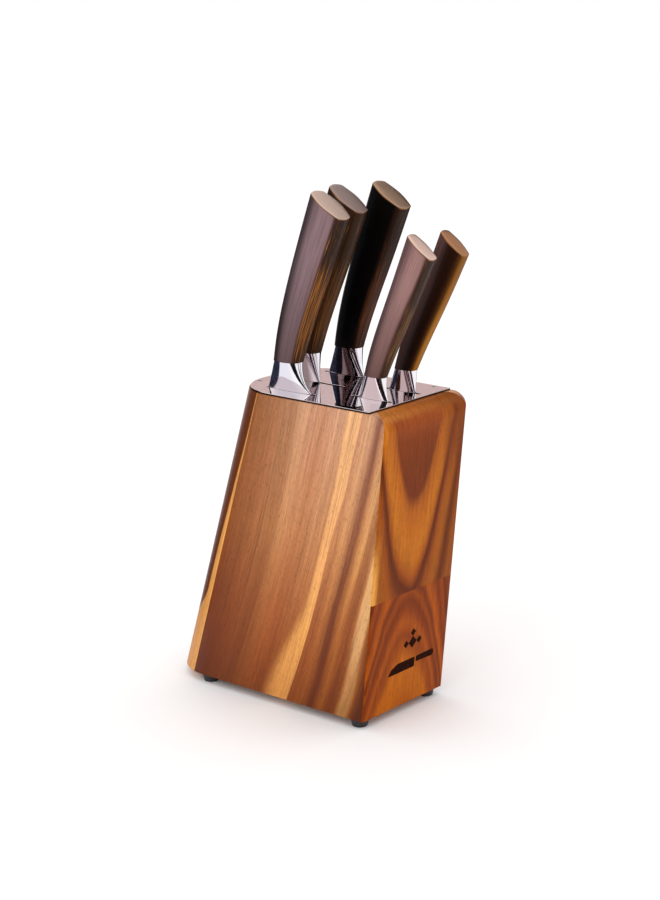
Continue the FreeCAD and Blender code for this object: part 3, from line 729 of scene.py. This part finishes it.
def bolster_rings(bm, knife):
    """Rings from the plate up to the handle; the front sweeps out to the blade's heel."""
    along, across, depth, thick = KNIVES[knife].stations[0]
    top = knife_point(knife, along, across)
    spine_y, heel_y = PLATE_FRONT + KNIVES[knife].spine, PLATE_FRONT + KNIVES[knife].heel
    seat = PLATE_TOP + SEAT_GAP
    rings = []
    for share in BOLSTER_LEVELS:
        back = spine_y + share * (top.y + depth / 2 - spine_y)
        front = top.y - depth / 2 + (heel_y - top.y + depth / 2) * (1 - share) ** BOLSTER_SWEEP
        width = SEAT_THICK + (thick - SEAT_THICK) * share ** BOLSTER_SWELL
        facet = SEAT_FACET + (thick * FACET_SHARE - SEAT_FACET) * share
        sag = SEAT_SAG + (thick * SAG_SHARE - SEAT_SAG) * share
        centre = Vector((top.x, (back + front) / 2, seat + share * (top.z - seat)))
        rings.append(add_section(bm, centre, 0.0, back - front, width, facet, sag, share))
    return rings


def blade_profile(kind, share, width):
    """Offsets of spine and edge at a share of the length from the heel to the tip."""
    drop, rise = (amount * max(0.0, (share - start) / (1.0 - start)) ** power
                  for amount, start, power in TIPS[kind])
    spine = -width * drop
    edge = -width * (1.0 - rise)
    if kind == "serrated" and share < SCALLOPED_SHARE:
        edge += SCALLOP_DEPTH * abs(sin(pi * SCALLOPS * share / SCALLOPED_SHARE))
    return spine, min(edge, spine - TIP_THICK)


def blade_mesh(knife, settings):
    """Blade ground thin towards a bevelled cutting edge, with the bar of its tang."""
    facts, lean = KNIVES[knife], LEANS[knife]
    heel_across = (facts.heel - facts.spine) * cos(lean)
    heel_along = (facts.spine - facts.heel) * sin(lean) - HEEL_DROP
    columns = SCALLOPS * 8 if facts.kind == "serrated" else 72
    bm = bmesh.new()
    grid = bmesh.ops.create_grid(bm, x_segments=columns, y_segments=len(GRIND) - 1, size=0.5)
    half = {}
    for vert in grid["verts"]:
        share = vert.co.x + 0.5
        row = round((0.5 - vert.co.y) * (len(GRIND) - 1))
        depth_share, thick_share = GRIND[row]
        spine, edge = blade_profile(facts.kind, share, -heel_across)
        bevel = settings.cutting_bevel if row < len(GRIND) - 1 else 0.0
        across = spine + (min(edge + bevel, spine) - spine) * depth_share
        start = 0.0 if row == 0 else heel_along * min(1.0, across / heel_across)
        taper = 1.0 - 0.55 * share ** 1.5
        half[vert] = settings.spine_thickness * thick_share * taper
        along = start + (heel_along - facts.length - start) * share
        vert.co = knife_point(knife, along, across)
    outer = bmesh.ops.extrude_face_region(bm, geom=bm.faces[:], use_keep_orig=True)
    copies = [v for v in outer["geom"] if isinstance(v, bmesh.types.BMVert)]
    lookup = {v.co.copy().freeze(): size for v, size in half.items()}
    for vert, size in half.items():
        vert.co.x -= size
    for vert in copies:
        vert.co.x += lookup[vert.co.copy().freeze()]
    bmesh.ops.remove_doubles(bm, verts=bm.verts, dist=WELD_DISTANCE)
    middle = facts.stations[0][1] - 0.001
    low = knife_point(knife, -TANG_DIP, middle)
    high = knife_point(knife, facts.stations[-1][0] - TANG_SHORT, middle)
    bar = Matrix.Translation((low + high) / 2) @ Matrix.Rotation(lean, 4, "X")
    size = Matrix.Diagonal((settings.spine_thickness, TANG_WIDTH, (high - low).length, 1.0))
    bmesh.ops.create_cube(bm, size=1.0, matrix=bar @ size)
    return bm


# ---- operators -----------------------------------------------------------------------
class KNIFEBLOCK_OT_boards(Operator):
    """Finish the outer boards of the block"""

    bl_idname = "knifeblock.boards"
    bl_label = "Finish Outer Boards"

    def execute(self, context):
        settings = context.scene.block_settings
        side = side_wood(settings)
        for node in ("left_front_stave", "left_rear_stave", "right_front_stave", "right_rear_stave"):
            paint(node, side)
        paint("front_upper_board", upper_front_wood(settings))
        paint("front_lower_board", lower_front_wood(settings))
        paint("back_board", back_wood(settings))
        return {"FINISHED"}


class KNIFEBLOCK_OT_inside(Operator):
    """Finish the base board and the lane dividers"""

    bl_idname = "knifeblock.inside"
    bl_label = "Finish Inner Boards"

    def execute(self, context):
        wood = inner_wood(context.scene.block_settings)
        paint("base_board", wood)
        for number in range(1, 5):
            paint("lane_divider_%d" % number, wood)
        return {"FINISHED"}


class KNIFEBLOCK_OT_plate(Operator):
    """Polish the top plate and its screws"""

    bl_idname = "knifeblock.plate"
    bl_label = "Finish Top Plate"

    def execute(self, context):
        paint("top_plate", polished_plate())
        plate = frame["nodes"]["top_plate"]
        plate.modifiers.new("merge", "WELD").merge_threshold = WELD_DISTANCE
        arris = plate.modifiers.new("arris", "BEVEL")
        arris.width = context.scene.block_settings.plate_arris
        arris.segments = 2
        arris.limit_method = "ANGLE"
        arris.angle_limit = radians(60)
        steel = turned_steel()
        paint("plate_screws", steel)
        paint("foot_screws", steel)
        return {"FINISHED"}


class KNIFEBLOCK_OT_feet(Operator):
    """Finish the rubber feet"""

    bl_idname = "knifeblock.feet"
    bl_label = "Finish Feet"

    def execute(self, context):
        rubber = foot_rubber(context.scene.block_settings)
        for corner in ("front_left", "front_right", "rear_left", "rear_right"):
            paint("foot_" + corner, rubber)
        return {"FINISHED"}


class KNIFEBLOCK_OT_mark(Operator):
    """Burn a plain knife figure and four diamonds into the lower front board"""

    bl_idname = "knifeblock.mark"
    bl_label = "Add Burnt Mark"

    def execute(self, context):
        bm = bmesh.new()
        blade = [(-0.024, 0.0), (0.006, 0.0), (0.006, 0.0075), (-0.014, 0.0075), (-0.021, 0.0045)]
        handle = [(0.0075, 0.0032), (0.027, 0.0026), (0.0285, 0.0050), (0.027, 0.0078), (0.0075, 0.0075)]
        for outline in (blade, handle):
            face = bm.faces.new([bm.verts.new((x, z, 0.0)) for x, z in outline])
            bmesh.ops.bevel(bm, geom=face.verts[:], offset=0.0008, segments=3, profile=0.5,
                            affect="VERTICES", material=-1)
        for x, z, size in ((0.0, 0.0200, 0.0046), (-0.0075, 0.0200, 0.0030), (0.0075, 0.0200, 0.0030),
                           (0.0, 0.0275, 0.0030)):
            matrix = Matrix.Translation((x + 0.002, z, 0.0))
            bmesh.ops.create_circle(bm, cap_ends=True, radius=size, segments=4, matrix=matrix)
        upright = Matrix.Rotation(pi / 2 + FRONT_LEAN, 4, "X")
        bmesh.ops.transform(bm, matrix=upright, verts=bm.verts)
        normal = Vector((0, -cos(FRONT_LEAN), -sin(FRONT_LEAN)))
        place = Vector((0.003, FRONT_LOW.y + (FRONT_SEAM - MARK_HEIGHT) * FRONT_SLOPE, MARK_HEIGHT))
        bmesh.ops.translate(bm, vec=place - normal * 0.0004, verts=bm.verts)
        sheet = bmesh.ops.extrude_face_region(bm, geom=bm.faces[:], use_keep_orig=True)
        moved = [v for v in sheet["geom"] if isinstance(v, bmesh.types.BMVert)]
        bmesh.ops.translate(bm, vec=normal * 0.00045, verts=moved)
        mark = new_piece("burnt_mark", bm, "block", burnt_wood())
        mark.data.shade_flat()
        return {"FINISHED"}


class KNIFEBLOCK_OT_blades(Operator):
    """Grind the five blades"""

    bl_idname = "knifeblock.blades"
    bl_label = "Add Blades"

    def execute(self, context):
        settings = context.scene.knife_settings
        for knife in KNIVES:
            bm = blade_mesh(knife, settings)
            piece = new_piece(knife + "_ground_blade", bm, knife,
                              blade_steel(LEANS[knife]), [knife + "_blade"])
            piece.data.set_sharp_from_angle(angle=radians(20))
        return {"FINISHED"}


class KNIFEBLOCK_OT_bolsters(Operator):
    """Forge the five polished bolsters"""

    bl_idname = "knifeblock.bolsters"
    bl_label = "Add Bolsters"

    def execute(self, context):
        settings = context.scene.knife_settings
        for knife in KNIVES:
            bm = new_shape()
            join_rings(bm, bolster_rings(bm, knife), settings.bolster_edge)
            piece = new_piece(knife + "_forged_bolster", bm, knife,
                              bolster_steel(knife), [knife + "_bolster"])
            smooth_piece(piece, settings.smoothing)
        return {"FINISHED"}


class KNIFEBLOCK_OT_handles(Operator):
    """Shape the five wooden handles"""

    bl_idname = "knifeblock.handles"
    bl_label = "Add Handles"

    def execute(self, context):
        settings = context.scene.knife_settings
        for knife, facts in KNIVES.items():
            bm = new_shape()
            last = len(facts.stations) - 1
            rings = [handle_section(bm, knife, index) for index in range(last)]
            rings.append(handle_section(bm, knife, last, CAP_THICK))
            join_rings(bm, rings, settings.handle_edge)
            piece = new_piece(knife + "_shaped_handle", bm, knife,
                              handle_wood(knife), [knife + "_handle"])
            smooth_piece(piece, settings.smoothing)
        return {"FINISHED"}


class KNIFEBLOCK_OT_butt_caps(Operator):
    """Fit the five champagne butt caps"""

    bl_idname = "knifeblock.butt_caps"
    bl_label = "Add Butt Caps"

    def execute(self, context):
        settings = context.scene.knife_settings
        for knife, facts in KNIVES.items():
            bm = new_shape()
            last = len(facts.stations) - 1
            dome, broad = settings.cap_dome, facts.stations[last][3]
            rings = [
                handle_section(bm, knife, last, CAP_THICK),
                handle_section(bm, knife, last, CAP_THICK * 0.55),
                handle_section(bm, knife, last, CAP_THICK * 0.20 + dome, 0.0004),
                handle_section(bm, knife, last, dome * 0.75, 0.0018),
                handle_section(bm, knife, last, 0.0, broad * 0.55),
            ]
            length = bm.verts.layers.float["length"]
            for number, ring in enumerate(rings):
                for vert in ring:
                    vert[length] = number / (len(rings) - 1)
            join_rings(bm, rings, settings.handle_edge)
            crease = bm.edges.layers.float["crease_edge"]
            for edge in ring_edges(rings[-1]):
                edge[crease] = 0.0
                edge.smooth = True
            piece = new_piece(knife + "_end_cap", bm, knife,
                              champagne_cap(knife), [knife + "_butt_cap"])
            smooth_piece(piece, settings.smoothing)
        return {"FINISHED"}


class KNIFEBLOCK_OT_stage(Operator):
    """Lay the floor and set the lights and the camera"""

    bl_idname = "knifeblock.stage"
    bl_label = "Set Up Studio"

    def execute(self, context):
        settings = context.scene.studio_settings
        add_floor(settings)
        add_lights(settings)
        add_cards()
        add_camera(settings)
        context.scene.view_settings.view_transform = "Standard"
        return {"FINISHED"}


# ---- studio --------------------------------------------------------------------------
FLOOR_RADIUS = 14.0
# direction from the block in degrees from +X, distance, width, foot height, height, tint
CARDS = (
    (103, 0.25, 0.19, 0.0, 0.60, (0.03, 0.035, 0.06)),
    (206, 0.30, 0.38, 0.0, 0.70, (0.01, 0.01, 0.012)),
    (0, 0.30, 0.16, 0.0, 0.60, (0.02, 0.015, 0.015)),
    (40, 0.90, 0.56, 0.27, 0.56, (0.60, 0.49, 0.48)),
)
CAMERA_PLACE = (-1.12647, -0.94625, 0.57297)
CAMERA_AZIMUTH = radians(-50.215)
CAMERA_ELEVATION = radians(14.896)
CAMERA_ROLL = radians(-0.453)


def matt_material(name, colour, roughness):
    """A plain material without any shine."""
    material = bpy.data.materials.new(name)
    material.use_nodes = True
    shader = material.node_tree.nodes["Principled BSDF"]
    shader.inputs["Base Color"].default_value = (*colour, 1.0)
    shader.inputs["Roughness"].default_value = roughness
    shader.inputs["Specular IOR Level"].default_value = 0.0
    return material


def stage_mesh(name, bm, material):
    """Turns a bmesh into a piece of the stage."""
    mesh = bpy.data.meshes.new(name)
    bm.to_mesh(mesh)
    bm.free()
    mesh.materials.append(material)
    piece = bpy.data.objects.new(name, mesh)
    bpy.context.scene.collection.objects.link(piece)
    return piece


def add_floor(settings):
    """A large pale disc."""
    bm = bmesh.new()
    bmesh.ops.create_circle(bm, cap_ends=True, radius=FLOOR_RADIUS, segments=96)
    stage_mesh("studio_floor", bm, matt_material("studio_floor_finish", settings.floor_colour, 0.9))


def add_area_light(name, place, aim, width, height, power, colour):
    """A rectangular soft light that faces a point."""
    data = bpy.data.lights.new(name, "AREA")
    data.shape = "RECTANGLE"
    data.size = width
    data.size_y = height
    data.energy = power
    data.color = colour
    light = bpy.data.objects.new(name, data)
    light.location = place
    light.rotation_euler = (Vector(aim) - Vector(place)).to_track_quat("-Z", "Y").to_euler()
    bpy.context.scene.collection.objects.link(light)


def add_lights(settings):
    """Even surround light, a key light on the left and a light overhead."""
    world = bpy.data.worlds.new("studio_surround")
    world.use_nodes = True
    background = world.node_tree.nodes["Background"]
    background.inputs["Color"].default_value = (1.0, 0.985, 0.985, 1.0)
    background.inputs["Strength"].default_value = settings.sky_strength
    bpy.context.scene.world = world
    middle = (0.0, 0.0, 0.18)
    warm, white = (1.0, 0.98, 0.97), (1.0, 1.0, 1.0)
    add_area_light("key_light", (-1.9, -0.1, 1.25), middle, 1.4, 1.6, settings.key_power, warm)
    add_area_light("top_light", (0.2, 0.3, 2.2), middle, 2.0, 2.0, settings.top_power, white)


def add_cards():
    """Cards that only mirrors see, so that polished metal shows dark and rosy bands."""
    for number, (turn, distance, width, foot, height, tint) in enumerate(CARDS):
        bm = bmesh.new()
        bmesh.ops.create_grid(bm, x_segments=1, y_segments=1, size=0.5)
        shape = Matrix.Diagonal((width, height, 1.0, 1.0))
        stand = Matrix.Rotation(radians(turn) + pi / 2, 4, "Z") @ Matrix.Rotation(pi / 2, 4, "X")
        x, y = distance * cos(radians(turn)), distance * sin(radians(turn))
        place = Matrix.Translation((x, y, foot + height / 2))
        bmesh.ops.transform(bm, matrix=place @ stand @ shape, verts=bm.verts)
        finish = matt_material("card_finish_%d" % number, tint, 1.0)
        card = stage_mesh("mirror_card_%d" % number, bm, finish)
        card.visible_camera = False
        card.visible_diffuse = False
        card.visible_shadow = False


def add_camera(settings):
    """The camera, slightly above the block and off its left front corner."""
    data = bpy.data.cameras.new("studio_camera")
    data.lens = settings.focal_length
    data.sensor_width = 36.0
    data.clip_end = 60.0
    camera = bpy.data.objects.new("studio_camera", data)
    level = cos(CAMERA_ELEVATION)
    back = Vector((sin(CAMERA_AZIMUTH) * level, -cos(CAMERA_AZIMUTH) * level, sin(CAMERA_ELEVATION)))
    camera.rotation_mode = "QUATERNION"
    camera.rotation_quaternion = (-back).to_track_quat("-Z", "Y") @ Quaternion((0, 0, 1), CAMERA_ROLL)
    camera.location = CAMERA_PLACE
    bpy.context.scene.collection.objects.link(camera)
    bpy.context.scene.camera = camera


# ---- panel and registration ----------------------------------------------------------
PIECES = (KNIFEBLOCK_OT_boards, KNIFEBLOCK_OT_inside, KNIFEBLOCK_OT_plate, KNIFEBLOCK_OT_feet,
          KNIFEBLOCK_OT_mark, KNIFEBLOCK_OT_blades, KNIFEBLOCK_OT_bolsters, KNIFEBLOCK_OT_handles,
          KNIFEBLOCK_OT_butt_caps, KNIFEBLOCK_OT_stage)


class KNIFEBLOCK_PT_workshop(Panel):
    """Sidebar panel that lists every step"""

    bl_idname = "KNIFEBLOCK_PT_workshop"
    bl_label = "Knife Block"
    bl_space_type = "VIEW_3D"
    bl_region_type = "UI"
    bl_category = "Knife Block"

    def draw(self, context):
        for group in SETTINGS:
            settings = getattr(context.scene, group)
            box = self.layout.box()
            for name in settings.bl_rna.properties.keys():
                if name not in ("rna_type", "name"):
                    box.prop(settings, name)
        for piece in PIECES:
            self.layout.operator(piece.bl_idname)


SETTINGS = {
    "block_settings": BlockSettings,
    "knife_settings": KnifeSettings,
    "studio_settings": StudioSettings,
}


def register():
    for cls in (*SETTINGS.values(), *PIECES, KNIFEBLOCK_PT_workshop):
        bpy.utils.register_class(cls)
    for name, cls in SETTINGS.items():
        setattr(bpy.types.Scene, name, PointerProperty(type=cls))


def unregister():
    for name in SETTINGS:
        delattr(bpy.types.Scene, name)
    for cls in (KNIFEBLOCK_PT_workshop, *reversed(PIECES), *SETTINGS.values()):
        bpy.utils.unregister_class(cls)


def main():
    register()
    for piece in PIECES:
        group, name = piece.bl_idname.split(".")
        getattr(getattr(bpy.ops, group), name)()


if __name__ == "__main__":
    main()
